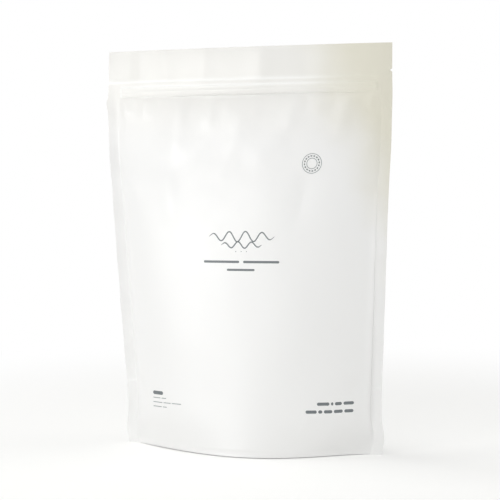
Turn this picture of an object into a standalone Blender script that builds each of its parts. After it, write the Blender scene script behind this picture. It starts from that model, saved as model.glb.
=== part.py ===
"""Stand-up refill pouch for laundry powder, filled and sealed.

The real pouch starts as three flat sheets of white film: a front panel, a back panel and
a gusset folded upwards between them at the foot. Heat seals join the sheets down both
sides, along the foot and across the top, and a press-to-close zip is welded between the
panels below the top edge. Filled with powder, the panels bow apart at the foot, which
draws the side seals together, and the gusset opens into an oval base.

It never opens here, so film, zip and powder are one solid. The solid is a loft: each
station across the width is a closed section that runs up the front panel, down the back
panel and back under the gusset.

Metres, +Z up. The front panel faces -Y. The origin is the middle of the base, on the floor.
"""

import math

import bmesh
import bpy

# The pouch as the converter makes it, flat and empty.
POUCH_WIDTH = 0.280
FILM = 0.00015
SIDE_SEAL = 0.010
FOOT_SEAL = 0.005
GUSSET_RISE = 0.062

# The pouch filled and standing. The powder lies a little to the right of the middle. The
# side seals sweep forward, and the middle of the header bows forward of its corners. The
# corners of the foot pucker and take up some of the film's length. The left side seal turns
# forward and the right one back, by these slopes.
POUCH_HEIGHT = 0.381
FOOT_DEPTH = 0.0898
BELLY_OFFSET = 0.0052
SEAL_SWEEP = 0.006
HEADER_BOW = 0.0111
HEADER_BOW_START = 0.72
FOOT_GATHER = 0.0032
LEFT_SEAL_TURN = -0.28
RIGHT_SEAL_TURN = 0.45

# How the panels bow. A panel's plan is (1 - u^2)^fullness, eased where it leaves the side
# seal. It is a lens at the foot, becomes the body's fuller section by FOOT_TURN above the
# floor, and from TOP_START of the way up thins to a lens again at the zip. Its side view is
# (1 - t^taper)^shoulder.
FOOT_FULLNESS_LEFT = 1.06
FOOT_FULLNESS_RIGHT = 1.63
FOOT_TURN = 0.0126
BODY_FULLNESS = 0.40
TOP_FULLNESS = 1.05
TOP_START = 0.5
SEAL_EASE = 0.03
SIDE_TAPER = 0.93
SIDE_SHOULDER = 0.55

# The zip, measured down from the top edge.
ZIP_RIB_FOOT = 0.0445
ZIP_RIB_HEIGHT = 0.0060
ZIP_RIB_RELIEF = 0.0007
ZIP_END_INSET = 0.0127
ZIP_END_ROUND = 0.0020
ZIP_WELD_DROPS = (0.0375, 0.0320)
ZIP_WELD_HALF_WIDTH = 0.0010
ZIP_WELD_RELIEF = 0.0005
ZIP_EDGE = 0.0006

# The tear notch, in the right-hand edge.
NOTCH_DROP = 0.0250
NOTCH_WIDTH = 0.0030
NOTCH_DEPTH = 0.0022

# The foot. The filled film stands proud of the flat seal along the panels' lower edges.
# The middle of the gusset lies on the floor, and each end stands up as a tent. The gusset's
# section has points at shares of the way from its middle to either rim.
FOOT_SEAL_STEP = 0.0006
FOOT_SEAL_SHOULDER = 0.0025
GUSSET_FLAT = 0.72
GUSSET_SHARES = (0.94, 0.86, GUSSET_FLAT, 0.36)
GUSSET_TENT = 0.052
GUSSET_END_GAP = 0.0020

# Just under the zip the left side seal kicks out a little, where the header is gathered.
SEAL_KICK_DROP = 0.0505
SEAL_KICK = 0.0016
SEAL_KICK_SPREAD = 0.0060

# Folds in the filled film. Each is (across, up, across, up, half width, rise): the ends of
# its crest, then its size in metres, with a rise below zero for a valley. Across is in half
# widths of the flat pouch, from its centre line. Up is a share of the way from the foot to
# the zip, and for the header's flutes, of the way from the zip to the top edge. The flutes
# move both panels together.
FRONT_FOLDS = (
    (-0.90, 0.99, -0.87, 0.95, 0.006, 0.0011),
    (-0.71, 1.00, -0.73, 0.94, 0.006, 0.0010),
    (-0.45, 1.00, -0.50, 0.83, 0.014, 0.0020),
    (-0.19, 1.00, -0.24, 0.91, 0.007, 0.0011),
    (0.00, 0.97, -0.06, 0.83, 0.014, 0.0011),
    (0.37, 0.99, 0.31, 0.90, 0.010, 0.0012),
    (0.30, 0.89, 0.07, 0.82, 0.014, 0.0012),
    (0.55, 1.00, 0.52, 0.94, 0.008, 0.0009),
    (0.72, 0.99, 0.66, 0.89, 0.010, 0.0014),
    (-0.55, 0.79, -0.51, 0.65, 0.012, 0.0013),
    (0.49, 0.79, 0.41, 0.65, 0.010, -0.0008),
    (-0.83, 0.77, -0.79, 0.72, 0.008, 0.0009),
    (0.87, 0.22, 0.74, 0.12, 0.007, -0.0016),
    (-0.87, 0.21, -0.77, 0.13, 0.007, -0.0010),
    (0.66, 0.10, 0.37, 0.03, 0.009, -0.0008),
)
BACK_FOLDS = (
    (-0.84, 1.00, -0.77, 0.92, 0.007, 0.0012),
    (-0.59, 1.00, -0.54, 0.89, 0.008, 0.0015),
    (-0.29, 1.00, -0.21, 0.85, 0.010, 0.0019),
    (0.03, 1.00, 0.01, 0.92, 0.007, 0.0010),
    (0.27, 1.00, 0.37, 0.87, 0.009, 0.0017),
    (0.60, 1.00, 0.57, 0.93, 0.007, 0.0010),
    (0.86, 0.99, 0.76, 0.90, 0.008, 0.0013),
    (0.51, 0.77, 0.43, 0.60, 0.011, 0.0013),
    (-0.50, 0.68, -0.37, 0.53, 0.012, -0.0011),
    (0.87, 0.21, 0.76, 0.13, 0.007, -0.0013),
    (-0.87, 0.22, -0.74, 0.12, 0.007, -0.0015),
)
HEADER_FLUTES = (
    (-0.84, 0.20, -0.83, 1.15, 0.008, 0.0006),
    (-0.75, 0.20, -0.76, 1.15, 0.008, -0.0010),
    (-0.55, 0.20, -0.57, 1.10, 0.009, -0.0010),
    (-0.29, 0.25, -0.27, 1.10, 0.010, -0.0010),
    (0.06, 0.25, 0.09, 1.10, 0.013, -0.0016),
    (0.44, 0.30, 0.41, 1.05, 0.014, 0.0008),
)

# A fold fades out at each end of its crest, over these shares of the crest's length.
FOLD_FADE_OUTSIDE = 0.25
FOLD_FADE_INSIDE = 0.30

# The mesh's spacing, the slices that measure the length of a bowed panel, and the angle
# above which an edge is drawn sharp.
STATION_STEP = 0.0072
EDGE_ZONE = 0.020
ROW_STEP = 0.0110
CHORD_SLICES = 72
SHARP_EDGE = math.radians(40)

FRONT, BACK = -1, 1
ZIP_FOOT = POUCH_HEIGHT - ZIP_RIB_FOOT
HALF_WIDTH = POUCH_WIDTH / 2
PANEL_REACH = HALF_WIDTH - SIDE_SEAL
ZIP_END = HALF_WIDTH - ZIP_END_INSET

# The greatest value of t^2 (1 - t), two thirds of the way from 0 to 1.
SWEEP_PEAK = 4 / 27


def smooth_step(low, high, value):
    """0 below low, 1 above high, and an S-curve between them."""
    t = min(1.0, max(0.0, (value - low) / (high - low)))
    return t * t * (3 - 2 * t)


def fullness_at(u, height):
    """A panel's fullness, which changes from left to right only near the foot."""
    foot = FOOT_FULLNESS_LEFT + (FOOT_FULLNESS_RIGHT - FOOT_FULLNESS_LEFT) * (u + 1) / 2
    near_top = smooth_step(TOP_START, 1.0, height / ZIP_FOOT)
    body = BODY_FULLNESS + (TOP_FULLNESS - BODY_FULLNESS) * near_top
    return body + (foot - body) * near_foot(height)


def near_foot(height):
    """1 at the floor, falling off to 0 above FOOT_TURN."""
    return math.exp(-((height / FOOT_TURN) ** 2))


def panel_bow(u, height):
    """How far a panel bows out, with u running from -1 to 1 between the side seals."""
    if height >= ZIP_FOOT:
        return 0.0
    shift = BELLY_OFFSET / PANEL_REACH
    v = (u - shift) / (1 - shift * u)
    depth = FOOT_DEPTH / 2 * (1 - (height / ZIP_FOOT) ** SIDE_TAPER) ** SIDE_SHOULDER
    fullness = fullness_at(u, height)
    at_seal = SEAL_EASE**fullness
    plan = (1 - v * v + SEAL_EASE) ** fullness - at_seal
    return depth * plan / ((1 + SEAL_EASE) ** fullness - at_seal)


def header_bow(across, height):
    """How far the header's middle stands forward of its corners."""
    rise = smooth_step(HEADER_BOW_START, 1.0, height / POUCH_HEIGHT)
    return HEADER_BOW * rise * (1 - (across / HALF_WIDTH) ** 2)


def bowed_length(reach, height):
    """Length of film between side seals that stand 2 * reach apart.

    The header's bow moves both panels the same way, so on average it adds to their length
    as if it were at right angles to their own bow.
    """
    points = []
    for i in range(CHORD_SLICES + 1):
        u = 2 * i / CHORD_SLICES - 1
        points.append((reach * u, panel_bow(u, height), header_bow(u * PANEL_REACH, height)))
    return sum(math.dist(a, b) for a, b in zip(points, points[1:]))


def bowed_reach(height):
    """Distance from the centre to each side seal, which keeps the length of the film."""
    free_length = 2 * (PANEL_REACH - FOOT_GATHER * near_foot(height))
    low, high = PANEL_REACH / 2, PANEL_REACH
    for _ in range(24):
        reach = (low + high) / 2
        if bowed_length(reach, height) > free_length:
            high = reach
        else:
            low = reach
    return (low + high) / 2


def fold_relief(folds, across, height, low, high):
    """Sum of the folds at one place on the flat panel, with up measured from low to high."""
    relief = 0.0
    for across_a, up_a, across_b, up_b, half_width, rise in folds:
        along = ((across_b - across_a) * HALF_WIDTH, (up_b - up_a) * (high - low))
        length = math.hypot(*along)
        offset = (across - across_a * HALF_WIDTH, height - low - up_a * (high - low))
        run = (offset[0] * along[0] + offset[1] * along[1]) / length**2
        aside = (offset[0] * along[1] - offset[1] * along[0]) / length
        fade = smooth_step(-FOLD_FADE_OUTSIDE, FOLD_FADE_INSIDE, run)
        fade *= smooth_step(-FOLD_FADE_OUTSIDE, FOLD_FADE_INSIDE, 1 - run)
        relief += rise * fade * math.exp(-((aside / half_width) ** 2))
    return relief


def zip_relief(across, height):
    """The closed zip and its two weld lines, raised on both panels between the seals."""
    inside = 1 - smooth_step(ZIP_END - ZIP_END_ROUND, ZIP_END, abs(across))
    rib_top = ZIP_FOOT + ZIP_RIB_HEIGHT
    rib = smooth_step(ZIP_FOOT, ZIP_FOOT + ZIP_EDGE, height)
    rib *= 1 - smooth_step(rib_top - ZIP_EDGE, rib_top, height)
    relief = ZIP_RIB_RELIEF * rib
    for drop in ZIP_WELD_DROPS:
        aside = abs(height - (POUCH_HEIGHT - drop)) / ZIP_WELD_HALF_WIDTH
        relief += ZIP_WELD_RELIEF * max(0.0, 1 - aside)
    return relief * inside


def middle_at(across, height):
    """How far back the sheet midway between the two panels lies."""
    up = height / POUCH_HEIGHT
    sweep = SEAL_SWEEP * up**2 * (1 - up) / SWEEP_PEAK
    turn = LEFT_SEAL_TURN * max(0.0, -across - PANEL_REACH)
    turn += RIGHT_SEAL_TURN * max(0.0, across - PANEL_REACH)
    turn *= math.sqrt(math.sin(math.pi * up))
    flutes = fold_relief(HEADER_FLUTES, across, height, ZIP_FOOT, POUCH_HEIGHT)
    return flutes + turn - sweep - header_bow(across, height)


def film_at(across, height):
    """Thickness of one panel's film. At the foot of a side seal it holds the gusset too."""
    in_seal = abs(across) > PANEL_REACH - FILM
    return FILM * 2 if in_seal and height < GUSSET_RISE else FILM


def panel_point(side, across, height, reach):
    """A point on the outside of the front or back panel. Reach is the bowed_reach there."""
    u = max(-1.0, min(1.0, across / PANEL_REACH))
    x = reach * u + across - PANEL_REACH * u
    kick_at = POUCH_HEIGHT - SEAL_KICK_DROP
    kick = SEAL_KICK * math.exp(-(((height - kick_at) / SEAL_KICK_SPREAD) ** 2))
    x -= kick * smooth_step(PANEL_REACH, HALF_WIDTH, -across)
    folds = FRONT_FOLDS if side == FRONT else BACK_FOLDS
    free = smooth_step(0.0, SIDE_SEAL, PANEL_REACH - abs(across))
    above_seal = smooth_step(FOOT_SEAL, FOOT_SEAL + FOOT_SEAL_SHOULDER, height)
    out = panel_bow(u, height) + FOOT_SEAL_STEP * above_seal * free * (height < ZIP_FOOT)
    out += fold_relief(folds, across, height, 0, ZIP_FOOT) * above_seal * free
    out += zip_relief(across, height)
    out = max(out, 0.0) + film_at(across, height)
    return (x, middle_at(across, height) + side * out, height)


def spaced(low, high, step):
    """Evenly spaced values from low up to, and not including, high."""
    count = max(1, round((high - low) / step))
    return [low + (high - low) * i / count for i in range(count)]


def station_places():
    """Places across the flat pouch, from the left edge to the right one."""
    edge_zone = PANEL_REACH - EDGE_ZONE
    right = spaced(0.0, edge_zone, STATION_STEP)
    right += spaced(edge_zone, ZIP_END - ZIP_END_ROUND, STATION_STEP / 2)
    right += [ZIP_END - ZIP_END_ROUND, ZIP_END]
    right += [PANEL_REACH, PANEL_REACH + SIDE_SEAL / 2, HALF_WIDTH]
    right = sorted(set(right))
    return [-place for place in reversed(right[1:])] + right


def row_heights():
    """Heights of the rows of points up a panel, close together at the seals and the zip."""
    shoulder = FOOT_SEAL + FOOT_SEAL_SHOULDER
    rows = [0.0, FOOT_SEAL, shoulder]
    rows += spaced(shoulder + ROW_STEP / 2, GUSSET_RISE - FILM, ROW_STEP)
    rows += [GUSSET_RISE - FILM, GUSSET_RISE + FILM]
    gather_foot = ZIP_FOOT - ROW_STEP * 4
    rows += spaced(GUSSET_RISE + ROW_STEP, gather_foot, ROW_STEP)
    rows += spaced(gather_foot, ZIP_FOOT, ROW_STEP / 2)
    rib_top = ZIP_FOOT + ZIP_RIB_HEIGHT
    rows += [ZIP_FOOT, ZIP_FOOT + ZIP_EDGE, rib_top - ZIP_EDGE]
    for drop in ZIP_WELD_DROPS:
        weld = POUCH_HEIGHT - drop
        rows += [weld - ZIP_WELD_HALF_WIDTH, weld, weld + ZIP_WELD_HALF_WIDTH]
    rows += spaced(rows[-1] + ROW_STEP / 2, POUCH_HEIGHT, ROW_STEP / 2)
    return rows + [POUCH_HEIGHT]


def gusset_section(front_foot, back_foot, reach):
    """Points under one station, from the front rim to the back rim.

    The panels end in a thin rim as high as the foot seal. Inside it the gusset comes down
    to the floor, and towards each side seal it rises as a tent with its fold on top.
    """
    x = front_foot.x
    rim = 2 * FILM
    front, back = front_foot.y + rim, back_foot.y - rim
    middle, half = (front + back) / 2, (back - front) / 2
    tent = GUSSET_RISE * max(0.0, abs(x) - (reach - GUSSET_TENT)) / GUSSET_TENT
    section = [(x, front, 0.0)]
    shares = (1.0, *GUSSET_SHARES)
    for share in [-s for s in shares] + [0.0] + list(reversed(shares)):
        edge = smooth_step(GUSSET_FLAT, 1.0, abs(share))
        height = FOOT_SEAL * edge + tent * (1 - abs(share))
        section.append((x, middle + half * share, height))
    section.append((x, back, 0.0))
    return section


def add_skin(bm, lines):
    """Quads between each line of vertices and the next."""
    for line, following in zip(lines, lines[1:]):
        for i in range(len(line) - 1):
            bm.faces.new((line[i], following[i], following[i + 1], line[i + 1]))


def add_gusset(bm, front, back, reach):
    """The underside. The gusset's tents close just inside the side seals, and from there
    outwards the foot of the seal is a flat strip."""
    feet = list(zip(front, back))
    gap = 2 * (GUSSET_END_GAP + 2 * FILM)
    is_open = [b.co.y - f.co.y > gap for f, b in feet]
    first, last = is_open.index(True), len(feet) - 1 - is_open[::-1].index(True)
    rows = []
    for foot, back_foot in feet[first : last + 1]:
        points = gusset_section(foot.co, back_foot.co, reach)
        rows.append([foot, *[bm.verts.new(point) for point in points], back_foot])
    add_skin(bm, rows)
    for row, beyond in ((rows[0], feet[first - 1]), (rows[-1], feet[last + 1])):
        bm.faces.new(row[1:-1])
        bm.faces.new((beyond[0], row[0], row[1], row[-2], row[-1], beyond[1]))
    add_skin(bm, feet[:first])
    add_skin(bm, feet[last + 1 :])


def pouch_mesh():
    """The filled pouch as one closed mesh."""
    bm = bmesh.new()
    places = station_places()
    rows = [(height, bowed_reach(height)) for height in row_heights()]
    front, back = (
        [
            [bm.verts.new(panel_point(side, across, height, reach)) for height, reach in rows]
            for across in places
        ]
        for side in (FRONT, BACK)
    )
    add_skin(bm, front)
    add_skin(bm, back)
    add_skin(bm, [front[0], back[0]])
    add_skin(bm, [front[-1], back[-1]])
    add_skin(bm, [[line[-1] for line in front], [line[-1] for line in back]])
    add_gusset(bm, [line[0] for line in front], [line[0] for line in back], rows[0][1])
    bmesh.ops.recalc_face_normals(bm, faces=bm.faces)
    centre_on_base(bm)
    mesh = bpy.data.meshes.new("refill_pouch")
    bm.to_mesh(mesh)
    bm.free()
    mesh.shade_smooth()
    mesh.set_sharp_from_angle(angle=SHARP_EDGE)
    return mesh


def centre_on_base(bm):
    """Moves the mesh so that the origin is midway across its width and its depth."""
    for axis in (0, 1):
        places = [vert.co[axis] for vert in bm.verts]
        middle = (min(places) + max(places)) / 2
        for vert in bm.verts:
            vert.co[axis] -= middle


def film_material():
    """White laminated film with a satin finish, warm in tone."""
    material = bpy.data.materials.new("white_satin_film")
    material.use_nodes = True
    shader = material.node_tree.nodes["Principled BSDF"]
    shader.inputs["Base Color"].default_value = (0.86, 0.855, 0.83, 1)
    shader.inputs["Roughness"].default_value = 0.42
    shader.inputs["Metallic"].default_value = 0.0
    return material


def cut_tear_notch(pouch):
    """A V in the right-hand edge that starts the tear across the header."""
    edge = max(vert.co.x for vert in pouch.data.vertices)
    height = POUCH_HEIGHT - NOTCH_DROP
    spare = NOTCH_DEPTH
    outline = [
        (edge - NOTCH_DEPTH, height),
        (edge + spare, height - NOTCH_WIDTH),
        (edge + spare, height + NOTCH_WIDTH),
    ]
    bm = bmesh.new()
    near = [bm.verts.new((x, -FOOT_DEPTH, z)) for x, z in outline]
    face = bm.faces.new(near)
    made = bmesh.ops.extrude_face_region(bm, geom=[face])["geom"]
    for vert in made:
        if isinstance(vert, bmesh.types.BMVert):
            vert.co.y = FOOT_DEPTH
    bmesh.ops.recalc_face_normals(bm, faces=bm.faces)
    mesh = bpy.data.meshes.new("tear_notch_cutter")
    bm.to_mesh(mesh)
    bm.free()
    cutter = bpy.data.objects.new("tear_notch_cutter", mesh)
    bpy.context.scene.collection.objects.link(cutter)
    cutter.hide_render = True
    cutter.display_type = "WIRE"
    cut = pouch.modifiers.new("tear_notch", "BOOLEAN")
    cut.operation = "DIFFERENCE"
    cut.object = cutter


def main():
    for obj in list(bpy.data.objects):
        bpy.data.objects.remove(obj, do_unlink=True)
    pouch = bpy.data.objects.new("refill_pouch", pouch_mesh())
    pouch.data.materials.append(film_material())
    bpy.context.scene.collection.objects.link(pouch)
    cut_tear_notch(pouch)


main()
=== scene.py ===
"""Looks of a laundry powder refill pouch, standing filled and sealed.

The film is one closed skin over the packed solid, worked out from the same sizes with
finer folds. Its print is generic: two wave lines, bars where words would be, and a round
badge of plain rings. Metres, +Z up, and the front panel faces -Y.
"""

import math

import bmesh
import bpy
import numpy as np
from mathutils import Matrix, Vector


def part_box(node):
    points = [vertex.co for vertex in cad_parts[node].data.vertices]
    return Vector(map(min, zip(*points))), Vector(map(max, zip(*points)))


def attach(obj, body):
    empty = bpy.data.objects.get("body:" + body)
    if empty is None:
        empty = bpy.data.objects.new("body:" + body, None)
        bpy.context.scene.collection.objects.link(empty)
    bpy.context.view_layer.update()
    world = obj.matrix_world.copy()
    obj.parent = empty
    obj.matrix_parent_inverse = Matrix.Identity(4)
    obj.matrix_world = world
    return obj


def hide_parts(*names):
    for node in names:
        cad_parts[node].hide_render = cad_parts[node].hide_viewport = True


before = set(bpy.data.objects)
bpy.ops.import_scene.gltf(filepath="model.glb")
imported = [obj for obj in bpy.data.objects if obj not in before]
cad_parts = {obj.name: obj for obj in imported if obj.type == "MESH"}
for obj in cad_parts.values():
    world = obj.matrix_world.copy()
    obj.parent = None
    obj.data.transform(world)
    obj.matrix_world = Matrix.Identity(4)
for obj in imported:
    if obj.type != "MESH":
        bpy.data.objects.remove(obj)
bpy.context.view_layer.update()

bl_info = {
    "name": "Refill Pouch",
    "version": (1, 0, 0),
    "blender": (4, 5, 0),
    "location": "View3D > Sidebar > Refill Pouch",
    "description": "Builds a filled stand-up pouch with its print, and a studio to show it in",
    "category": "Object",
}

NODE = "refill_pouch"
BODY = "root"
RIDGE_HIGHLIGHT = "zip_ridge_highlight"
SHARP_ANGLE = 40
CAD_LOW, CAD_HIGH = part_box(NODE)
FRONT, BACK = -1, 1

# Folds in the filled film. Each is (across, up, across, up, half width, rise): the ends of
# its crest, then its size in metres, with a rise below zero for a valley. Across is in half
# widths of the flat pouch, from its centre line. Up is a share of the way from the foot to
# the zip, and for the header's flutes, of the way from the zip to the top edge.
FRONT_FOLDS = (
    (-0.90, 0.99, -0.87, 0.95, 0.006, 0.0011),
    (-0.71, 1.00, -0.73, 0.94, 0.006, 0.0010),
    (-0.45, 1.00, -0.50, 0.83, 0.014, 0.0020),
    (-0.19, 1.00, -0.24, 0.91, 0.007, 0.0011),
    (0.00, 0.97, -0.06, 0.83, 0.014, 0.0011),
    (0.37, 0.99, 0.31, 0.90, 0.010, 0.0012),
    (0.30, 0.89, 0.07, 0.82, 0.014, 0.0012),
    (0.55, 1.00, 0.52, 0.94, 0.008, 0.0009),
    (0.72, 0.99, 0.66, 0.89, 0.010, 0.0014),
    (-0.55, 0.79, -0.51, 0.65, 0.012, 0.0013),
    (0.49, 0.79, 0.41, 0.65, 0.010, -0.0008),
    (-0.83, 0.77, -0.79, 0.72, 0.008, 0.0009),
    (0.87, 0.22, 0.74, 0.12, 0.007, -0.0016),
    (-0.87, 0.21, -0.77, 0.13, 0.007, -0.0010),
    (0.66, 0.10, 0.37, 0.03, 0.009, -0.0008),
)
FRONT_CREASES = (
    (-0.81, 1.00, -0.82, 0.96, 0.004, -0.0004),
    (-0.63, 1.00, -0.62, 0.95, 0.004, -0.0004),
    (-0.36, 1.00, -0.39, 0.93, 0.005, -0.0004),
    (-0.22, 0.99, -0.27, 0.93, 0.004, 0.0004),
    (-0.09, 1.00, -0.12, 0.95, 0.005, 0.0004),
    (0.10, 1.00, 0.08, 0.94, 0.005, 0.0005),
    (0.23, 1.00, 0.21, 0.96, 0.004, 0.0004),
    (0.45, 1.00, 0.44, 0.95, 0.005, -0.0004),
    (0.64, 1.00, 0.63, 0.96, 0.004, -0.0004),
    (0.88, 0.99, 0.86, 0.95, 0.004, 0.0005),
    (-0.42, 0.83, -0.47, 0.74, 0.007, -0.0005),
    (-0.06, 0.84, -0.17, 0.76, 0.008, 0.0005),
    (-0.88, 0.90, -0.62, 0.78, 0.012, -0.0006),
    (0.83, 0.24, 0.88, 0.19, 0.004, 0.0006),
    (0.55, 0.13, 0.46, 0.08, 0.005, 0.0005),
    (0.74, 0.12, 0.68, 0.08, 0.004, 0.0004),
    (-0.90, 0.27, -0.84, 0.19, 0.004, 0.0004),
)
BACK_FOLDS = (
    (-0.84, 1.00, -0.77, 0.92, 0.007, 0.0012),
    (-0.59, 1.00, -0.54, 0.89, 0.008, 0.0015),
    (-0.29, 1.00, -0.21, 0.85, 0.010, 0.0019),
    (0.03, 1.00, 0.01, 0.92, 0.007, 0.0010),
    (0.27, 1.00, 0.37, 0.87, 0.009, 0.0017),
    (0.60, 1.00, 0.57, 0.93, 0.007, 0.0010),
    (0.86, 0.99, 0.76, 0.90, 0.008, 0.0013),
    (0.51, 0.77, 0.43, 0.60, 0.011, 0.0013),
    (-0.50, 0.68, -0.37, 0.53, 0.012, -0.0011),
    (0.87, 0.21, 0.76, 0.13, 0.007, -0.0013),
    (-0.87, 0.22, -0.74, 0.12, 0.007, -0.0015),
)
BACK_CREASES = (
    (-0.70, 1.00, -0.69, 0.95, 0.004, -0.0005),
    (-0.44, 1.00, -0.42, 0.94, 0.004, -0.0005),
    (-0.15, 1.00, -0.13, 0.95, 0.003, 0.0004),
    (0.14, 1.00, 0.16, 0.94, 0.004, -0.0005),
    (0.45, 1.00, 0.47, 0.95, 0.004, 0.0004),
    (0.73, 1.00, 0.70, 0.94, 0.004, -0.0005),
    (-0.10, 0.86, 0.02, 0.76, 0.007, 0.0007),
)
HEADER_FLUTES = (
    (-0.84, 0.20, -0.83, 1.15, 0.008, 0.0006),
    (-0.75, 0.20, -0.76, 1.15, 0.008, -0.0010),
    (-0.55, 0.20, -0.57, 1.10, 0.009, -0.0010),
    (-0.29, 0.25, -0.27, 1.10, 0.010, -0.0010),
    (0.12, 0.25, 0.125, 1.10, 0.012, -0.0014),
    (0.44, 0.30, 0.41, 1.05, 0.014, 0.0008),
)
# Each panel's folds, and how steeply they fall away to the sides.
PANEL_FOLDS = {
    FRONT: ((FRONT_FOLDS, 1.7), (FRONT_CREASES, 1.4)),
    BACK: ((BACK_FOLDS, 1.7), (BACK_CREASES, 1.4)),
}
HEADER_SHARPNESS = 1.6

# Long faint waves in the film: radians per metre across and up, phase, and rise in metres.
RIPPLES = ((61, 38, 0.3, 0.00016), (-34, 72, 1.9, 0.00014), (96, -27, 4.0, 0.00010))

# Bars in the place of words. Each line is (across, height, lengths of its words, gap between
# them, thickness), in metres, from the left end of its first word.
TITLE = (
    (-0.0363, 0.1817, (0.0372, 0.0366), 0.0041, 0.0022),
    (-0.0118, 0.1743, (0.0286,), 0.0, 0.0020),
)
LEFT_HEADING = ((-0.1004, 0.0552, (0.0130,), 0.0, 0.0034),)
LEFT_NOTE = (
    (-0.1005, 0.0504, (0.0095, 0.0060), 0.0014, 0.0007),
    (-0.1005, 0.0462, (0.0120, 0.0090, 0.0115), 0.0014, 0.0007),
    (-0.1005, 0.0421, (0.0110, 0.0050), 0.0014, 0.0007),
)
RIGHT_NOTE = (
    (0.0823, 0.0513, (0.0120, 0.0022, 0.0062, 0.0095), 0.0015, 0.0029),
    (0.0711, 0.0441, (0.0110, 0.0040, 0.0080, 0.0080, 0.0083), 0.0015, 0.0029),
)

# The white paper glows a little where the camera sees it, and fades to plain white between
# these distances from the pouch.
PAPER_GLOW = 0.18
PAPER_FADE = (0.30, 0.75)
# The lamps' size, their distance from the place that they face, and its height.
LAMP_SIZE = 0.7
LAMP_DISTANCE = 1.7
LAMP_AIM = 0.19


def linear(hex_colour):
    """An sRGB hex colour as the linear values that sockets and lights hold."""
    channels = [int(hex_colour[i : i + 2], 16) / 255 for i in (1, 3, 5)]
    return [c / 12.92 if c <= 0.04045 else ((c + 0.055) / 1.055) ** 2.4 for c in channels]


def length(name, description, default):
    """A size that the panel shows in the scene's unit of length."""
    return bpy.props.FloatProperty(
        name=name, description=description, default=default, min=0.0, unit="LENGTH", precision=4
    )


def power(name, description, default):
    """A lamp's power, in watts."""
    return bpy.props.FloatProperty(
        name=name, description=description, default=default, min=0.0, unit="POWER"
    )


def centre_at(across, height):
    """The centre of some print, as a setting in the scene's unit of length."""
    return bpy.props.FloatVectorProperty(
        name="Centre", description="Across and up", default=(across, height), size=2, unit="LENGTH"
    )


def colour(name, description, hex_colour):
    """A colour that the panel shows as a swatch."""
    return bpy.props.FloatVectorProperty(
        name=name,
        description=description,
        default=linear(hex_colour),
        size=3,
        min=0.0,
        max=1.0,
        subtype="COLOR",
    )


class PouchSizes(bpy.types.PropertyGroup):
    """Sizes of the pouch, flat and filled."""

    width: length("Width", "Width of the flat pouch", 0.280)
    height: length("Height", "Height of the standing pouch", CAD_HIGH[2] - CAD_LOW[2])
    foot_depth: length("Foot depth", "Depth of the opened foot", 0.0898)
    film: length("Film", "Thickness of one sheet of film", 0.00015)
    side_seal: length("Side seal", "Width of the side seals", 0.010)
    foot_seal: length("Foot seal", "Height of the seal along the foot", 0.005)
    gusset_rise: length("Gusset rise", "Height of the gusset's fold", 0.062)
    gusset_tent: length("Gusset tent", "Reach of the gusset's raised ends", 0.052)
    belly_offset: length("Belly offset", "How far right of the middle the powder lies", 0.0052)
    seal_sweep: length("Seal sweep", "How far forward the side seals sweep", 0.006)
    header_bow: length("Header bow", "How far the header's middle bows forward", 0.0111)
    zip_drop: length("Zip drop", "From the top edge to the foot of the zip", 0.0440)
    zip_rib: length("Zip rib", "Height of the zip's rib", 0.0094)
    notch_drop: length("Notch drop", "From the top edge to the tear notch", 0.0250)


class FilmFinish(bpy.types.PropertyGroup):
    """Colour and sheen of the laminated film."""

    white: colour("White", "Colour of most of the film", "#F3F3F2")
    # The header is painted this shade darker than the white, as painted shade.
    sealed: colour("Sealed", "Colour of the header, where two sheets are sealed flat", "#EFEEEA")
    # The top right corner is painted cream and darker, as painted warm shade.
    corner_shade: colour("Cream", "Colour of the film at the top right corner", "#E3E0D0")
    # The zip's ridge lines are painted this whiter colour, as a painted highlight.
    ridge_highlight: colour("Stretched", "Colour of the film where the zip stretches it", "#FCFCFA")
    roughness: bpy.props.FloatProperty(
        name="Roughness",
        description="Roughness of the satin lacquer",
        default=0.40,
        min=0.0,
        max=1.0,
    )
    grain: length("Grain", "Size of the lacquer's grain", 0.0009)
    waviness: length("Waviness", "Distance between the film's faint waves", 0.018)


class PrintFinish(bpy.types.PropertyGroup):
    """Colour and strokes of the print."""

    ink: colour("Ink", "Colour of the slate ink", "#646C6F")
    pale_ink: colour("Pale ink", "Slate ink laid down thin, in the finest marks", "#8D9395")
    proud: length("Proud", "How far the ink stands above the film", 0.00005)
    wave_stroke: length("Wave stroke", "Width of the wave lines", 0.0012)
    badge_stroke: length("Badge stroke", "Width of the badge's rings", 0.0006)


class StudioLight(bpy.types.PropertyGroup):
    """Level of the studio's light."""

    key_power: power("Key", "Power of the lamp in front, to the left", 7.8)
    high_power: power("High", "Power of the lamp in front, high up", 1.5)
    top_power: power("Top", "Power of the lamp high at the left", 6.4)
    fill_power: power("Fill", "Power of the lamp at the right", 6.0)
    ambient: bpy.props.FloatProperty(
        name="Ambient", description="Strength of the light from all round", default=0.56, min=0.0
    )
    paper: colour("Paper", "Colour of the paper that the pouch stands on", "#F4F4F2")


def smooth_step(low, high, value):
    """0 below low, 1 above high, and an S-curve between them."""
    t = np.clip((value - low) / (high - low), 0.0, 1.0)
    return t * t * (3 - 2 * t)


def bell(offset, spread):
    """1 where the offset is 0, falling away smoothly on both sides."""
    return np.exp(-((offset / spread) ** 2))


def spaced(low, high, step):
    """Evenly spaced values from low up to, and not including, high."""
    return list(np.linspace(low, high, max(1, round((high - low) / step)), endpoint=False))


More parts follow.
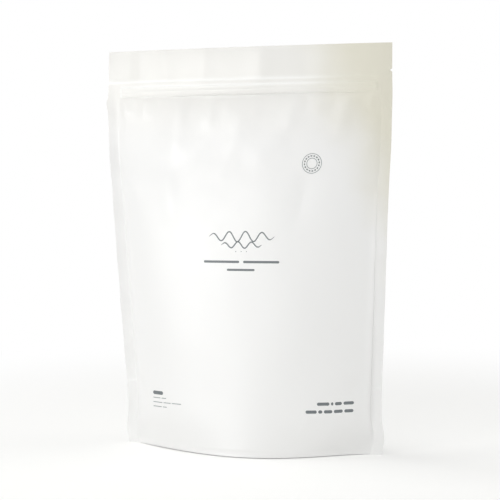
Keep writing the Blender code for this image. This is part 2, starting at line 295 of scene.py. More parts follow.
class PouchForm:
    """The outside of the filled pouch.

    Across runs over the flat pouch, from its centre line to half its width at either edge,
    and height is above the floor. The film doesn't stretch, so where the panels bow out,
    the side seals come together.
    """

    # How the panels fall to the left and right seals: a low number is a full panel, with a
    # steep fall at its seal.
    foot_fullness = (1.06, 1.63)
    body_fullness = (0.27, 0.42)
    seal_ease = 0.03
    top_fullness = 1.05
    top_start = 0.70

    # The foot: how high its own roundness reaches, the width its corners take up, and the
    # lift of its front seal.
    foot_turn = 0.0220
    foot_gather = 0.0032
    foot_gather_height = 0.0126
    foot_lift = 0.0008
    foot_seal_step = 0.0002

    # How the pouch thins from the foot to the zip, and where the header's bow starts.
    side_taper = 0.93
    side_shoulder = 0.55
    header_bow_start = 0.72

    # The zip and its weld line, and where a painted highlight lies along their ridge lines. The
    # track's width is a share of half the rib's height, and the top and track ridge lines are each
    # a place and a spread in shares of its height.
    zip_rib_relief = 0.0007
    zip_rib_lean = 0.25
    zip_track_groove = 0.0002
    zip_track_width = 0.16
    zip_end_inset = 0.0127
    zip_end_round = 0.0026
    zip_weld_drop = 0.0298
    zip_weld_half_width = 0.0014
    zip_weld_relief = 0.0004
    top_ridge = (0.97, 0.13)
    track_ridge = (0.55, 0.07)
    track_ridge_share = 0.3
    end_ridge_inset = 0.0009
    end_ridge_spread = 0.0010
    ridge_blur = 0.0002
    zip_margin = 0.0015

    # The side seals: a bulge under the zip at the left, the tear notch at the right, ripples,
    # and how far each seal turns back over its width. A turn below zero is forwards.
    kick_drop = 0.0505
    kick = 0.0016
    kick_spread = 0.0060
    notch_depth = 0.0022
    notch_half_height = 0.0015
    seal_ripple = 0.0004
    seal_ripple_length = 0.047
    left_seal_turn = -0.28
    right_seal_turn = 0.30
    seal_bend = 0.010

    # A fold fades in from the first to the second of these shares of its length, at both ends.
    fold_fade = (-0.25, 0.3)

    slices = 121

    def __init__(self, sizes):
        self.half_width = sizes.width / 2
        self.height = sizes.height
        self.half_depth = sizes.foot_depth / 2
        self.film = sizes.film
        self.side_seal = sizes.side_seal
        self.panel_reach = self.half_width - sizes.side_seal
        self.foot_seal = sizes.foot_seal
        self.gusset_rise = sizes.gusset_rise
        self.gusset_tent = sizes.gusset_tent
        self.belly_offset = sizes.belly_offset
        self.seal_sweep = sizes.seal_sweep
        self.header_bow = sizes.header_bow
        self.zip_foot = sizes.height - sizes.zip_drop
        self.zip_rib = sizes.zip_rib
        self.notch_height = sizes.height - sizes.notch_drop
        self.table_heights = np.linspace(0.0, self.height, 381)
        self.table_reaches = self.bowed_reach(self.table_heights)
        self.offset = np.zeros(3)
        self.offset = -self.middle_of_box()

    def panel_bow(self, u, height):
        """How far a panel bows out, with u running from -1 to 1 between the side seals."""
        shift = self.belly_offset / self.panel_reach
        v = (u - shift) / (1 - shift * u)
        rise = np.clip(height / self.zip_foot, 0.0, 1.0)
        depth = self.half_depth * (1 - rise**self.side_taper) ** self.side_shoulder
        share = (u + 1) / 2
        foot = self.foot_fullness[0] * (1 - share) + self.foot_fullness[1] * share
        plain = self.body_fullness[0] * (1 - share) + self.body_fullness[1] * share
        near_top = smooth_step(self.top_start, 1.0, rise)
        body = plain + (self.top_fullness - plain) * near_top
        near_foot = bell(height, self.foot_turn)
        fullness = body + (foot - body) * near_foot
        at_seal = self.seal_ease**fullness
        plan = (np.clip(1 - v * v, 0.0, 1.0) + self.seal_ease) ** fullness - at_seal
        return depth * plan / ((1 + self.seal_ease) ** fullness - at_seal)

    def header_bow_at(self, across, height):
        """How far the header's middle stands forward of its corners."""
        rise = smooth_step(self.header_bow_start, 1.0, height / self.height)
        return self.header_bow * rise * (1 - (across / self.half_width) ** 2)

    def bowed_reach(self, height):
        """Distance from the centre to each side seal, at each of several heights."""
        u = np.linspace(-1, 1, self.slices)[None, :]
        rows = height[:, None]
        bow = np.diff(self.panel_bow(u, rows), axis=1)
        header = np.diff(self.header_bow_at(u * self.panel_reach, rows), axis=1)
        taken_up = self.foot_gather * bell(height, self.foot_gather_height)
        low = np.full(len(height), self.panel_reach / 2)
        high = np.full(len(height), self.panel_reach)
        for _ in range(24):
            reach = (low + high) / 2
            run = np.sqrt((reach[:, None] * np.diff(u)) ** 2 + bow**2 + header**2).sum(axis=1)
            too_long = run > 2 * (self.panel_reach - taken_up)
            high = np.where(too_long, reach, high)
            low = np.where(too_long, low, reach)
        return (low + high) / 2

    def fold_relief(self, folds, across, height, low, high, sharpness):
        """Sum of the folds, with up measured from low to high."""
        relief = 0.0
        for across_a, up_a, across_b, up_b, half_width, rise in folds:
            along = ((across_b - across_a) * self.half_width, (up_b - up_a) * (high - low))
            run_length = math.hypot(*along)
            right = across - across_a * self.half_width
            up = height - low - up_a * (high - low)
            run = (right * along[0] + up * along[1]) / run_length**2
            aside = np.abs(right * along[1] - up * along[0]) / run_length
            fade = smooth_step(*self.fold_fade, run) * smooth_step(*self.fold_fade, 1 - run)
            relief = relief + rise * fade * np.exp(-((aside / half_width) ** sharpness))
        return relief

    def zip_relief(self, across, height):
        """The closed zip, highest at its top edge, and the weld line above it.

        They are raised on both panels.
        """
        end = self.half_width - self.zip_end_inset
        past_end = np.clip((np.abs(across) - end + self.zip_end_round) / self.zip_end_round, 0, 1)
        inside = np.sqrt(1 - past_end**2)
        in_rib = np.clip((height - self.zip_foot) / self.zip_rib, 0, 1) * 2 - 1
        lean = 1 - self.zip_rib_lean + self.zip_rib_lean * in_rib
        rib = (1 - in_rib**6) * lean * inside
        groove = bell(in_rib, self.zip_track_width) * inside
        relief = self.zip_rib_relief * rib - self.zip_track_groove * groove
        weld = self.weld_line(height) * (1 - smooth_step(end, self.half_width, np.abs(across)))
        return relief + self.zip_weld_relief * weld

    def weld_line(self, height):
        """1 along the middle of the zip's weld line, and 0 away from it."""
        return bell(height - self.height + self.zip_weld_drop, self.zip_weld_half_width)

    def zip_ridge_highlights(self, across, height):
        """The painted highlight on the zip's ridge lines: most on its weld, top edge and ends."""
        end = self.half_width - self.zip_end_inset
        outward = np.abs(across)
        inside = 1 - smooth_step(end - self.ridge_blur, end + self.ridge_blur, outward)
        up = (height - self.zip_foot) / self.zip_rib
        top_edge = bell(up - self.top_ridge[0], self.top_ridge[1])
        track = self.track_ridge_share * bell(up - self.track_ridge[0], self.track_ridge[1])
        ends = bell(outward - end + self.end_ridge_inset, self.end_ridge_spread)
        ends = ends * (np.abs(up - 0.5) < 0.5)
        return np.clip((top_edge + track + ends) * inside + self.weld_line(height), 0, 1)

    def ripple(self, across, height):
        """Faint waves that no film loses: a few long ones that cross at odd angles."""
        return sum(a * np.sin(kx * across + kz * height + p) for kx, kz, p, a in RIPPLES)

    def past_bend(self, past):
        """How far out along a side seal, past a bend that turns smoothly and isn't sharp."""
        into_bend = np.clip(past + self.seal_bend / 2, 0.0, self.seal_bend)
        return into_bend**2 / (2 * self.seal_bend) + np.maximum(0.0, past - self.seal_bend / 2)

    def middle(self, across, height):
        """How far back the sheet midway between the two panels lies."""
        up = height / self.height
        # This curve is 1 at its highest, two thirds of the way up.
        sweep = self.seal_sweep * up**2 * (1 - up) * 27 / 4
        header = (self.zip_foot, self.height)
        flutes = self.fold_relief(HEADER_FLUTES, across, height, *header, HEADER_SHARPNESS)
        edge = smooth_step(self.panel_reach, self.half_width, np.abs(across))
        phase = 2 * math.pi * height / self.seal_ripple_length
        wave = self.seal_ripple * edge * np.sin(phase + np.sign(across))
        past_left = self.past_bend(-across - self.panel_reach)
        past_right = self.past_bend(across - self.panel_reach)
        turn = self.left_seal_turn * past_left + self.right_seal_turn * past_right
        turn = turn * np.sqrt(np.maximum(0.0, np.sin(math.pi * up)))
        return flutes + wave + turn - sweep - self.header_bow_at(across, height)

    def panel(self, side, across, height):
        """Points on the outside of a panel, with x, y and z along the last axis."""
        across, height = np.asarray(across, float), np.asarray(height, float)
        across, height = np.broadcast_arrays(across, height)
        u = np.clip(across / self.panel_reach, -1, 1)
        reach = np.interp(height, self.table_heights, self.table_reaches)
        x = reach * u + across - self.panel_reach * u
        kick_up = bell(height - self.height + self.kick_drop, self.kick_spread)
        kick_out = smooth_step(self.panel_reach, self.half_width, -across)
        x = x - self.kick * kick_up * kick_out
        free = smooth_step(0.0, self.side_seal, self.panel_reach - np.abs(across))
        above_seal = smooth_step(self.foot_seal, self.foot_seal * 1.5, height)
        below_zip = 1 - smooth_step(self.zip_foot - self.zip_margin, self.zip_foot, height)
        relief = self.foot_seal_step * below_zip + self.ripple(across * side, height)
        for folds, sharpness in PANEL_FOLDS[side]:
            folded = self.fold_relief(folds, across, height, 0, self.zip_foot, sharpness)
            relief = relief + folded * below_zip
        out = self.panel_bow(u, height) + relief * above_seal * free
        out = out + self.zip_relief(across, height)
        in_seal = np.abs(across) > self.panel_reach - self.film
        film = np.where(in_seal & (height < self.gusset_rise), self.film * 2, self.film)
        y = self.middle(across, height) + side * (np.maximum(out, 0.0) + film)
        lift = self.foot_lift * (1 - u**8) * np.clip(1 - height / self.foot_seal, 0, 1)
        z = height + lift * (side == FRONT)
        return np.stack([x, y, z], axis=-1) + self.offset

    def middle_of_box(self):
        """The middle of the pouch's width and depth, which the origin lies under."""
        across = np.linspace(-self.half_width, self.half_width, 141)[:, None]
        points = [self.panel(side, across, self.table_heights[None, :]) for side in (FRONT, BACK)]
        points = np.concatenate([p.reshape(-1, 3) for p in points])
        middle = (points.min(axis=0) + points.max(axis=0)) / 2
        return np.array([middle[0], middle[1], 0.0])

    def normal(self, side, across, height):
        """Unit normals of a panel, pointing out of the pouch."""
        step = 0.0004
        over = self.panel(side, across + step, height) - self.panel(side, across - step, height)
        up = self.panel(side, across, height + step) - self.panel(side, across, height - step)
        normal = np.cross(over, up) * -side
        return normal / np.linalg.norm(normal, axis=-1, keepdims=True)


def add_node(tree, kind, settings=(), inputs=()):
    """Adds a node with its settings. An input is a value, or the output that feeds it."""
    node = tree.nodes.new(kind)
    for name, value in dict(settings).items():
        setattr(node, name, value)
    for name, value in dict(inputs).items():
        if isinstance(value, bpy.types.NodeSocket):
            tree.links.new(value, node.inputs[name])
        else:
            node.inputs[name].default_value = value
    return node


def noise(tree, place, size, detail, roughness=0.5):
    """Noise with lumps of about a size, in metres."""
    inputs = {"Vector": place, "Scale": 1 / size, "Detail": detail, "Roughness": roughness}
    return add_node(tree, "ShaderNodeTexNoise", inputs=inputs).outputs["Fac"]


def eased(tree, value, low, high):
    """0 below low, 1 above high, and an S-curve between them, as a node."""
    return add_node(
        tree,
        "ShaderNodeMapRange",
        settings={"interpolation_type": "SMOOTHSTEP"},
        inputs={"Value": value, "From Min": low, "From Max": high},
    ).outputs["Result"]


def blend(tree, share, plain, other):
    """The plain colour, with a share of the other one."""
    return add_node(
        tree,
        "ShaderNodeMix",
        settings={"data_type": "RGBA"},
        inputs={0: share, 6: plain, 7: other},
    ).outputs[2]


def maths(tree, operation, *values):
    """An arithmetic node, with its values in order."""
    return add_node(
        tree, "ShaderNodeMath", settings={"operation": operation}, inputs=dict(enumerate(values))
    ).outputs[0]


def new_material(name):
    """An empty node material and its output."""
    material = bpy.data.materials.new(name)
    material.use_nodes = True
    material.node_tree.nodes.clear()
    return material, add_node(material.node_tree, "ShaderNodeOutputMaterial")


def satin_laminate(finish):
    """White polyester laminate with a satin lacquer, reverse printed and dry laminated.

    The white ink lies under a clear outer film, which gives the surface a soft, wide sheen.
    The header, which no powder backs, is painted a shade darker as painted shade, and its top
    right corner cream and darker as painted warm shade. The zip's ridge lines are painted
    whiter, as a painted highlight.
    The grain is the matting agent in the lacquer. It is a hundredth of a millimetre across
    in life, and is drawn coarser so that it shows.
    """
    material, output = new_material("satin_white_laminate")
    tree = material.node_tree
    place = add_node(tree, "ShaderNodeTexCoord").outputs["Object"]
    # The painted warm shade comes in between two distances along the way to the top right
    # corner, and the header's painted shade between two heights.
    corner_way = (1.7, 0.0, 0.7)
    corner_start, corner_end = 0.38, 0.51
    cloud_share = 0.10
    header_start, header_end = 0.280, 0.350
    towards_corner = add_node(
        tree,
        "ShaderNodeVectorMath",
        settings={"operation": "DOT_PRODUCT"},
        inputs={0: place, 1: corner_way},
    ).outputs["Value"]
    cloud = noise(tree, place, 0.060, 2.0, 0.45)
    uneven = maths(tree, "MULTIPLY_ADD", cloud, cloud_share, towards_corner)
    corner_shade_share = eased(tree, uneven, corner_start, corner_end)
    height = add_node(tree, "ShaderNodeSeparateXYZ", inputs={0: place}).outputs["Z"]
    header_shade_share = eased(tree, height, header_start, header_end)
    ridge = add_node(tree, "ShaderNodeAttribute", settings={"attribute_name": RIDGE_HIGHLIGHT})
    # The header is painted a shade darker, as painted shade.
    plain = blend(tree, header_shade_share, (*finish.white, 1), (*finish.sealed, 1))
    # The zip's ridge lines are painted whiter, as a painted highlight.
    ridge_highlight = blend(tree, ridge.outputs["Fac"], plain, (*finish.ridge_highlight, 1))
    # The top right corner is painted cream and darker, as painted warm shade.
    tint = blend(tree, corner_shade_share, ridge_highlight, (*finish.corner_shade, 1))
    waves = noise(tree, place, finish.waviness, 1.5, 0.4)
    grain = noise(tree, place, finish.grain, 2.0, 0.6)
    gloss = add_node(
        tree,
        "ShaderNodeMapRange",
        inputs={
            "Value": waves,
            "From Min": 0.3,
            "From Max": 0.7,
            "To Min": finish.roughness - 0.03,
            "To Max": finish.roughness + 0.04,
        },
    )
    wave_bump = add_node(
        tree,
        "ShaderNodeBump",
        inputs={"Strength": 0.12, "Distance": 0.0006, "Height": waves},
    )
    grain_bump = add_node(
        tree,
        "ShaderNodeBump",
        inputs={
            "Strength": 0.10,
            "Distance": 0.00006,
            "Height": grain,
            "Normal": wave_bump.outputs["Normal"],
        },
    )
    shader = add_node(
        tree,
        "ShaderNodeBsdfPrincipled",
        inputs={
            "Base Color": tint,
            "Roughness": gloss.outputs["Result"],
            "Normal": grain_bump.outputs["Normal"],
            "IOR": 1.50,
            "Coat Weight": 0.90,
            "Coat Roughness": 0.40,
            "Coat IOR": 1.50,
        },
    )
    tree.links.new(shader.outputs["BSDF"], output.inputs["Surface"])
    return material


def slate_ink(name, ink):
    """Slate flexographic ink under the same lacquer as the film, so it has the film's sheen.

    The ink goes on from a raised rubber plate, which leaves faint mottling.
    """
    material, output = new_material(name)
    tree = material.node_tree
    place = add_node(tree, "ShaderNodeTexCoord").outputs["Object"]
    mottle = noise(tree, place, 0.0012, 2.0, 0.6)
    lighter = [c + (1 - c) * 0.10 for c in ink]
    tone = blend(tree, mottle, (*ink, 1), (*lighter, 1))
    shader = add_node(
        tree,
        "ShaderNodeBsdfPrincipled",
        inputs={"Base Color": tone, "Roughness": 0.42, "IOR": 1.50},
    )
    tree.links.new(shader.outputs["BSDF"], output.inputs["Surface"])
    return material


def add_piece(name, points, faces, material):
    """A mesh object from points in the frame's own place, smooth apart from its sharp edges.

    Each piece is closed, so its faces are turned to look out of it.
    """
    mesh = bpy.data.meshes.new(name)
    mesh.from_pydata([tuple(p) for p in points], [], faces)
    mesh.materials.append(material)
    mesh.validate()
    work = bmesh.new()
    work.from_mesh(mesh)
    bmesh.ops.recalc_face_normals(work, faces=work.faces)
    work.to_mesh(mesh)
    work.free()
    mesh.shade_smooth()
    mesh.set_sharp_from_angle(angle=math.radians(SHARP_ANGLE))
    piece = bpy.data.objects.new(name, mesh)
    bpy.context.scene.collection.objects.link(piece)
    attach(piece, BODY)
    return piece


def skin_faces(lines, flip=False):
    """Quads between each line of point numbers and the next."""
    faces = []
    for line, following in zip(lines, lines[1:]):
        for i in range(len(line) - 1):
            face = (line[i], following[i], following[i + 1], line[i + 1])
            faces.append(face[::-1] if flip else face)
    return faces


def film_stations(form):
    """Places across the flat pouch, closer together at the zip's ends and in the seals."""
    coarse, middling, fine, sealed = 0.0018, 0.0010, 0.0005, 0.0015
    zip_end = form.half_width - form.zip_end_inset
    near_end = form.panel_reach - 0.016
    edge = form.half_width - 0.0024
    right = spaced(0.0, near_end, coarse)
    right += spaced(near_end, zip_end - form.zip_end_round, middling)
    right += spaced(zip_end - form.zip_end_round, zip_end, fine)
    right += spaced(zip_end, form.panel_reach, fine) + [form.panel_reach]
    right += spaced(form.panel_reach + sealed, edge, sealed)
    right += [edge, form.half_width]
    return np.array([-place for place in reversed(right[1:])] + right)


def film_rows(form):
    """Heights of the rows of points, closest together over the zip."""
    plain, folded, zipped, header = 0.0023, 0.0016, 0.00045, 0.0015
    folds_start = form.zip_foot - 0.055
    zip_start, zip_end = form.zip_foot - form.zip_margin, form.height - 0.0300
    notch = form.notch_half_height
    rows = [form.foot_seal * share for share in (0.0, 0.5, 1.0, 1.25, 1.5)]
    rows += spaced(form.foot_seal * 1.8, form.gusset_rise - form.film, plain)
    rows += [form.gusset_rise - form.film]
    rows += spaced(form.gusset_rise + form.film, folds_start, plain)
    rows += spaced(folds_start, zip_start, folded)
    rows += spaced(zip_start, zip_end, zipped)
    rows += spaced(zip_end, form.notch_height - notch, header)
    rows += [form.notch_height - notch, form.notch_height, form.notch_height + notch]
    rows += spaced(form.notch_height + notch * 2, form.height, header)
    return np.array(rows + [form.height])


def cut_notch(form, rows, panel):
    """Draws the right edge in to a V, where the pouch is torn open."""
    aside = np.abs(rows - form.notch_height) / form.notch_half_height
    panel[-1, :, 0] -= form.notch_depth * np.clip(1 - aside, 0, 1)
    return panel


def gusset_points(form, front_foot, back_foot):
    """The gusset's underside, one line of points under each station."""
    seal_start = 0.72
    shares = np.concatenate([np.linspace(0.0, 0.70, 8), np.linspace(0.74, 1.0, 8)])
    shares = np.concatenate([-shares[:0:-1], shares])
    rim = 2 * form.film
    front = front_foot[:, 1] + rim
    back = back_foot[:, 1] - rim
    middle, half = (front + back) / 2, (back - front) / 2
    reach = form.table_reaches[0]
    x = front_foot[:, 0]
    past = np.maximum(0.0, np.abs(x - form.offset[0]) - reach + form.gusset_tent)
    tent = form.gusset_rise * past / form.gusset_tent
    edge = smooth_step(seal_start, 1.0, np.abs(shares))
    height = form.foot_seal * edge[None, :] + tent[:, None] * (1 - np.abs(shares))[None, :]
    height = np.maximum(height, form.film)
    y = middle[:, None] + half[:, None] * shares[None, :]
    section = np.stack([np.broadcast_to(x[:, None], y.shape), y, height], axis=-1)
    feet = ((front, front_foot[:, 2]), (back, back_foot[:, 2]))
    rims = [np.stack([x, edge_y, edge_z], axis=-1)[:, None, :] for edge_y, edge_z in feet]
    return np.concatenate([rims[0], section, rims[1]], axis=1)


def film_mesh(form):
    """Points and faces of the pouch's skin, and each point's painted highlight on a zip's ridge.
    """
    stations, rows = film_stations(form), film_rows(form)
    panels = [form.panel(side, stations[:, None], rows[None, :]) for side in (FRONT, BACK)]
    front, back = [cut_notch(form, rows, panel) for panel in panels]
    count = len(stations) * len(rows)
    number = np.arange(count).reshape(len(stations), len(rows))
    front_lines, back_lines = number.tolist(), (number + count).tolist()
    # The two panels, the sides and the top edge.
    faces = skin_faces(front_lines) + skin_faces(back_lines, flip=True)
    faces += skin_faces([back_lines[0], front_lines[0]])
    faces += skin_faces([front_lines[-1], back_lines[-1]])
    tops = [[line[-1] for line in lines] for lines in (front_lines, back_lines)]
    faces += skin_faces(tops, flip=True)
    # The gusset, wherever the foot is open, and the closed foot on both sides of it.
    least_gap = 2 * (0.0020 + 2 * form.film)
    is_open = np.flatnonzero(back[:, 0, 1] - front[:, 0, 1] > least_gap)
    first, last = is_open[0], is_open[-1]
    gusset = gusset_points(form, front[first : last + 1, 0], back[first : last + 1, 0])
    under = (np.arange(gusset.shape[0] * gusset.shape[1]) + 2 * count).reshape(gusset.shape[:2])
    lines = [
        [front_lines[first + i][0], *line, back_lines[first + i][0]]
        for i, line in enumerate(under.tolist())
    ]
    faces += skin_faces(lines)
    feet = [(f[0], b[0]) for f, b in zip(front_lines, back_lines)]
    faces += skin_faces(feet[:first]) + skin_faces(feet[last + 1 :])
    # The walls at the gusset's ends, and the films that join them to the closed foot.
    left, right = lines[0], lines[-1]
    faces.append(tuple(left[1:-1][::-1]))
    faces.append(tuple(right[1:-1]))
    left_foot, right_foot = feet[first - 1], feet[last + 1]
    faces.append((left_foot[0], *left[:2], *left[-2:], left_foot[1]))
    faces.append((right_foot[0], *right[:2], *right[-2:], right_foot[1])[::-1])
    points = np.concatenate([p.reshape(-1, 3) for p in (front, back, gusset)])
    # How much painted highlight each point takes on the zip's ridge lines; the gusset takes none.
    ridge_highlights = form.zip_ridge_highlights(stations[:, None], rows[None, :]).ravel()
    ridge_highlights = np.concatenate([ridge_highlights, ridge_highlights, np.zeros(len(points) - 2 * count)])
    return points, faces, ridge_highlights


class Ribbon:
    """Strokes of ink that lie on the front panel, each a thin closed strip."""

    def __init__(self, form, proud):
        self.form = form
        self.proud = proud
        self.points = []
        self.faces = []

    def stroke(self, path, half_widths, closed=False):
        """Adds a strip along a path of (across, height) points."""
        path = np.asarray(path, float)
        if closed:
            ahead, behind = np.roll(path, -1, axis=0), np.roll(path, 1, axis=0)
        else:
            ahead, behind = np.vstack([path[1:], path[-1:]]), np.vstack([path[:1], path[:-1]])
        run = ahead - behind
        run /= np.linalg.norm(run, axis=1, keepdims=True)
        side = np.stack([-run[:, 1], run[:, 0]], axis=1) * np.reshape(half_widths, (-1, 1))
        rings = []
        for edge in (path + side, path - side):
            on_film = self.form.panel(FRONT, edge[:, 0], edge[:, 1])
            out = self.form.normal(FRONT, edge[:, 0], edge[:, 1]) * self.proud
            rings += [on_film + out, on_film - out]
        corners = np.stack([rings[0], rings[2], rings[3], rings[1]], axis=1)
        start = len(self.points)
        self.points += corners.reshape(-1, 3).tolist()
        ring = [[start + 4 * i + j for j in (0, 1, 2, 3, 0)] for i in range(len(path))]
        if closed:
            ring.append(ring[0])
        self.faces += skin_faces(ring, flip=True)
        if not closed:
            self.faces += [tuple(ring[0][:4]), tuple(ring[-1][3::-1])]

    def bar(self, across, height, run, thickness):
        """Adds a bar with round ends, from across towards the right."""
        radius = thickness / 2
        turn = np.linspace(0, math.pi / 2, 7)
        ends = radius * (1 - np.cos(turn))
        widths = radius * np.sin(turn) + radius * 0.02
        count = max(2, round((run - thickness) / 0.002))
        body = np.linspace(radius, run - radius, count)[1:-1]
        places = np.concatenate([ends, body, run - ends[::-1]])
        half_widths = np.concatenate([widths, np.full(len(body), radius), widths[::-1]])
        path = np.stack([across + places, np.full(len(places), height)], axis=1)
        self.stroke(path, half_widths)

    def lines(self, lines):
        """Adds lines of bars, one for each word's length, from left to right."""
        for across, height, runs, gap, thickness in lines:
            for run in runs:
                self.bar(across, height, run, thickness)
                across += run + gap

    def ring(self, across, height, radius, thickness):
        """Adds a circle."""
        self.turned(across, height, radius, np.linspace(0, 2 * math.pi, 73)[:-1], thickness, True)

    def arc(self, across, height, radius, start, sweep, thickness):
        """Adds part of a circle, from start anticlockwise."""
        self.turned(across, height, radius, start + np.linspace(0, sweep, 7), thickness)

    def turned(self, across, height, radius, turn, thickness, closed=False):
        """Adds a strip through the places at several angles round a centre."""
        path = np.stack([across + radius * np.cos(turn), height + radius * np.sin(turn)], axis=1)
        self.stroke(path, np.full(len(path), thickness / 2), closed)

    def wave(self, across, height, run, crests, rise, thickness):
        """Adds a wave line that starts and ends level."""
        share = np.linspace(0, 1, 24 * crests + 1)
        swell = np.sin(math.pi * share) ** 0.35
        up = height + rise * swell * np.sin(2 * math.pi * crests * share)
        path = np.stack([across + run * share, up], axis=1)
        taper = np.minimum(1, 8 * np.minimum(share, 1 - share) + 0.25)
        self.stroke(path, thickness / 2 * taper)

    def piece(self, name, material):
        """The strokes so far, as one object."""
        return add_piece(name, self.points, self.faces, material)


class MakeFilm(bpy.types.Operator):
    """Builds the pouch's film, folded and filled, over the packed solid"""

    bl_idname = "refill_pouch.make_film"
    bl_label = "Film"

    def execute(self, context):
        scene = context.scene
        form = PouchForm(scene.pouch_sizes)
        points, faces, ridge_highlights = film_mesh(form)
        piece = add_piece("pouch_film", points, faces, satin_laminate(scene.film_finish))
        # Each point's share of the painted highlight on the zip's ridge lines.
        piece.data.attributes.new(RIDGE_HIGHLIGHT, "FLOAT", "POINT").data.foreach_set("value", ridge_highlights)
        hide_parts(NODE)
        return {"FINISHED"}


class MakeWaves(bpy.types.Operator):
    """Prints two wave lines and three dots in the middle of the front panel"""

    bl_idname = "refill_pouch.make_waves"
    bl_label = "Wave lines"

    centre: centre_at(0.0028, 0.2019)
    run: length("Length", "Length of the longer line", 0.0672)

    def execute(self, context):
        scene = context.scene
        finish = scene.print_finish
        across, height = self.centre
        strokes = Ribbon(PouchForm(scene.pouch_sizes), finish.proud)
        short = self.run * 0.62
        stroke = finish.wave_stroke
        strokes.wave(across - self.run / 2, height + 0.0032, self.run, 4, 0.0048, stroke)
        strokes.wave(across - short / 2, height - 0.0045, short, 3, 0.0030, stroke)
        strokes.piece("wave_lines", slate_ink("slate_ink_line", finish.ink))
        dots = Ribbon(strokes.form, finish.proud)
        for step in (-0.0055, 0.0, 0.0055):
            dots.bar(across + step - 0.0005, height - 0.0106, 0.0010, 0.0008)
        dots.piece("dots", slate_ink("pale_slate_ink_dots", finish.pale_ink))
        return {"FINISHED"}


class MakeTitle(bpy.types.Operator):
    """Prints bars where the two lines of the title would be"""

    bl_idname = "refill_pouch.make_title"
    bl_label = "Title bars"

    def execute(self, context):
        scene = context.scene
        finish = scene.print_finish
        bars = Ribbon(PouchForm(scene.pouch_sizes), finish.proud)
        bars.lines(TITLE)
        bars.piece("title_bars", slate_ink("slate_ink_title", finish.ink))
        return {"FINISHED"}


class MakeBadge(bpy.types.Operator):
    """Prints a round badge of plain rings, high on the right of the front panel"""

    bl_idname = "refill_pouch.make_badge"
    bl_label = "Badge"

    centre: centre_at(0.0694, 0.2720)
    radius: length("Radius", "Radius of the outer ring", 0.0090)

    def execute(self, context):
        scene = context.scene
        finish = scene.print_finish
        across, height = self.centre
        rings = Ribbon(PouchForm(scene.pouch_sizes), finish.proud)
        rings.ring(across, height, self.radius, finish.badge_stroke)
        rings.ring(across, height, self.radius * 0.54, finish.badge_stroke)
        rings.piece("badge_rings", slate_ink("pale_slate_ink_badge", finish.pale_ink))
        band = Ribbon(rings.form, finish.proud)
        dashes = 16
        for i in range(dashes):
            start = 2 * math.pi * i / dashes
            band.arc(across, height, self.radius * 0.77, start, 1.2 * math.pi / dashes, 0.0012)
        band.piece("badge_band", slate_ink("slate_ink_badge", finish.ink))
        return {"FINISHED"}


class MakeNotes(bpy.types.Operator):
    """Prints bars where the small notes would be, low on both sides of the front panel"""

    bl_idname = "refill_pouch.make_notes"
    bl_label = "Corner notes"

    def execute(self, context):
        scene = context.scene
        finish = scene.print_finish
        left = Ribbon(PouchForm(scene.pouch_sizes), finish.proud)
        left.lines(LEFT_HEADING)
        left.piece("left_note_heading", slate_ink("slate_ink_heading", finish.ink))
        small = Ribbon(left.form, finish.proud)
        small.lines(LEFT_NOTE)
        small.piece("left_note", slate_ink("pale_slate_ink_note", finish.pale_ink))
        right = Ribbon(left.form, finish.proud)
        right.lines(RIGHT_NOTE)
        right.piece("right_note", slate_ink("slate_ink_note", finish.ink))
        return {"FINISHED"}


class MakeStudio(bpy.types.Operator):
    """Lays the paper, hangs the lamps and sets up the camera"""

    bl_idname = "refill_pouch.make_studio"
    bl_label = "Studio"

    def execute(self, context):
        scene = context.scene
        light = scene.studio_light
        add_paper(light)
        add_ambient(scene, light)
        add_lamp("key", light.key_power, -30, 4)
        add_lamp("high", light.high_power, 0, 32)
        add_lamp("top", light.top_power, -90, 62)
        add_lamp("fill", light.fill_power, 102, 8)
        add_camera(scene)
        scene.view_settings.view_transform = "Standard"
        return {"FINISHED"}


def white_for_camera(tree):
    """1 for the rays that see the background, straight on or in a reflection, and 0 for light."""
    path = add_node(tree, "ShaderNodeLightPath")
    seen = path.outputs["Is Camera Ray"]
    for kind in ("Is Glossy Ray", "Is Transmission Ray"):
        seen = maths(tree, "MAXIMUM", seen, path.outputs[kind])
    return seen


def add_paper(light):
    """White paper. It keeps the pouch's shadow, and away from the pouch it is seen as white."""
    material, output = new_material("matt_paper")
    tree = material.node_tree
    place = add_node(tree, "ShaderNodeTexCoord").outputs["Object"]
    fibre = noise(tree, place, 0.004, 3.0)
    bump = add_node(
        tree, "ShaderNodeBump", inputs={"Strength": 0.05, "Distance": 0.0001, "Height": fibre}
    )
    paper = add_node(
        tree,
        "ShaderNodeBsdfPrincipled",
        inputs={
            "Base Color": (*light.paper, 1),
            "Roughness": 0.9,
            "Normal": bump.outputs["Normal"],
        },
    )
    seen = white_for_camera(tree)
    lift = maths(tree, "MULTIPLY", seen, PAPER_GLOW)
    glow = add_node(tree, "ShaderNodeEmission", inputs={"Strength": lift})
    lit = add_node(
        tree, "ShaderNodeAddShader", inputs={0: paper.outputs["BSDF"], 1: glow.outputs["Emission"]}
    )
    away = add_node(
        tree, "ShaderNodeVectorMath", settings={"operation": "LENGTH"}, inputs={0: place}
    )
    far = eased(tree, away.outputs["Value"], *PAPER_FADE)
    far_and_seen = maths(tree, "MULTIPLY", far, seen)
    white = add_node(tree, "ShaderNodeEmission", inputs={"Strength": 1.0})
    both = add_node(
        tree,
        "ShaderNodeMixShader",
        inputs={0: far_and_seen, 1: lit.outputs[0], 2: white.outputs["Emission"]},
    )
    tree.links.new(both.outputs[0], output.inputs["Surface"])
    reach = 4.0
    corners = [(reach * x, reach * y, 0.0) for x, y in ((-1, -1), (1, -1), (1, 1), (-1, 1))]
    mesh = bpy.data.meshes.new("paper")
    mesh.from_pydata(corners, [], [(0, 1, 2, 3)])
    mesh.materials.append(material)
    paper_sheet = bpy.data.objects.new("paper", mesh)
    bpy.context.scene.collection.objects.link(paper_sheet)


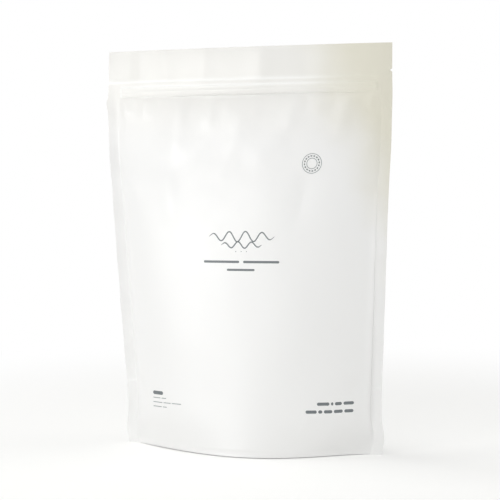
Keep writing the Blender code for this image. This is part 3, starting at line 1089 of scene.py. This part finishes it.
def add_ambient(scene, light):
    """Even white light from all round, seen as plain white behind the pouch."""
    world = bpy.data.worlds.new("studio")
    world.use_nodes = True
    tree = world.node_tree
    tree.nodes.clear()
    strength = add_node(
        tree,
        "ShaderNodeMapRange",
        inputs={"Value": white_for_camera(tree), "To Min": light.ambient, "To Max": 1.0},
    )
    shine = add_node(
        tree,
        "ShaderNodeBackground",
        inputs={"Color": (1, 1, 1, 1), "Strength": strength.outputs["Result"]},
    )
    output = add_node(tree, "ShaderNodeOutputWorld")
    tree.links.new(shine.outputs["Background"], output.inputs["Surface"])
    scene.world = world


def add_lamp(name, power, azimuth, elevation):
    """A square soft lamp that faces the pouch. Its angles are in degrees, from the front."""
    turn, rise = math.radians(azimuth), math.radians(elevation)
    middle = Vector((0.0, 0.0, LAMP_AIM))
    away = Vector(
        (math.sin(turn) * math.cos(rise), -math.cos(turn) * math.cos(rise), math.sin(rise))
    )
    lamp = bpy.data.lights.new(name, "AREA")
    lamp.energy = power
    lamp.size = LAMP_SIZE
    lamp_object = bpy.data.objects.new(name, lamp)
    lamp_object.location = middle + away * LAMP_DISTANCE
    lamp_object.rotation_euler = (-away).to_track_quat("-Z", "Y").to_euler()
    bpy.context.scene.collection.objects.link(lamp_object)


def add_camera(scene):
    """The camera, to the right of the front and a little above the pouch's middle.

    It looks slightly down through a long lens, and is a hair out of level.
    """
    azimuth, distance, height = math.radians(18.21), 1.400, 0.2921
    turn = azimuth - math.radians(0.05)
    pitch, roll = math.radians(4.16), math.radians(-0.83)
    image_width, focal_pixels = 500, 1480.1
    camera = bpy.data.cameras.new("camera")
    camera.sensor_width = 36.0
    camera.lens = focal_pixels / image_width * camera.sensor_width
    camera_object = bpy.data.objects.new("camera", camera)
    ahead = Vector(
        (
            -math.sin(turn) * math.cos(pitch),
            math.cos(turn) * math.cos(pitch),
            -math.sin(pitch),
        )
    )
    right = ahead.cross(Vector((0, 0, 1))).normalized()
    up = right.cross(ahead)
    turned_right = right * math.cos(roll) + up * math.sin(roll)
    turned_up = up * math.cos(roll) - right * math.sin(roll)
    axes = Matrix((turned_right, turned_up, -ahead)).transposed().to_4x4()
    place = Vector((distance * math.sin(azimuth), -distance * math.cos(azimuth), height))
    camera_object.matrix_world = Matrix.Translation(place) @ axes
    scene.collection.objects.link(camera_object)
    scene.camera = camera_object


PIECES = (MakeFilm, MakeWaves, MakeTitle, MakeBadge, MakeNotes, MakeStudio)
SETTINGS = {
    "pouch_sizes": PouchSizes,
    "film_finish": FilmFinish,
    "print_finish": PrintFinish,
    "studio_light": StudioLight,
}


class RefillPouchPanel(bpy.types.Panel):
    """Lists the pouch's settings and pieces"""

    bl_idname = "VIEW3D_PT_refill_pouch"
    bl_label = "Refill Pouch"
    bl_space_type = "VIEW_3D"
    bl_region_type = "UI"
    bl_category = "Refill Pouch"

    def draw(self, context):
        layout = self.layout
        for name, group in SETTINGS.items():
            box = layout.box()
            box.label(text=group.__doc__)
            for setting in group.__annotations__:
                box.prop(getattr(context.scene, name), setting)
        for piece in PIECES:
            layout.operator(piece.bl_idname)


def register():
    for group in SETTINGS.values():
        bpy.utils.register_class(group)
    for name, group in SETTINGS.items():
        setattr(bpy.types.Scene, name, bpy.props.PointerProperty(type=group))
    for shown in (*PIECES, RefillPouchPanel):
        bpy.utils.register_class(shown)


def unregister():
    for shown in (RefillPouchPanel, *reversed(PIECES)):
        bpy.utils.unregister_class(shown)
    for name, group in SETTINGS.items():
        delattr(bpy.types.Scene, name)
        bpy.utils.unregister_class(group)


def main():
    register()
    bpy.ops.refill_pouch.make_film()
    bpy.ops.refill_pouch.make_waves()
    bpy.ops.refill_pouch.make_title()
    bpy.ops.refill_pouch.make_badge()
    bpy.ops.refill_pouch.make_notes()
    bpy.ops.refill_pouch.make_studio()


if __name__ == "__main__":
    main()
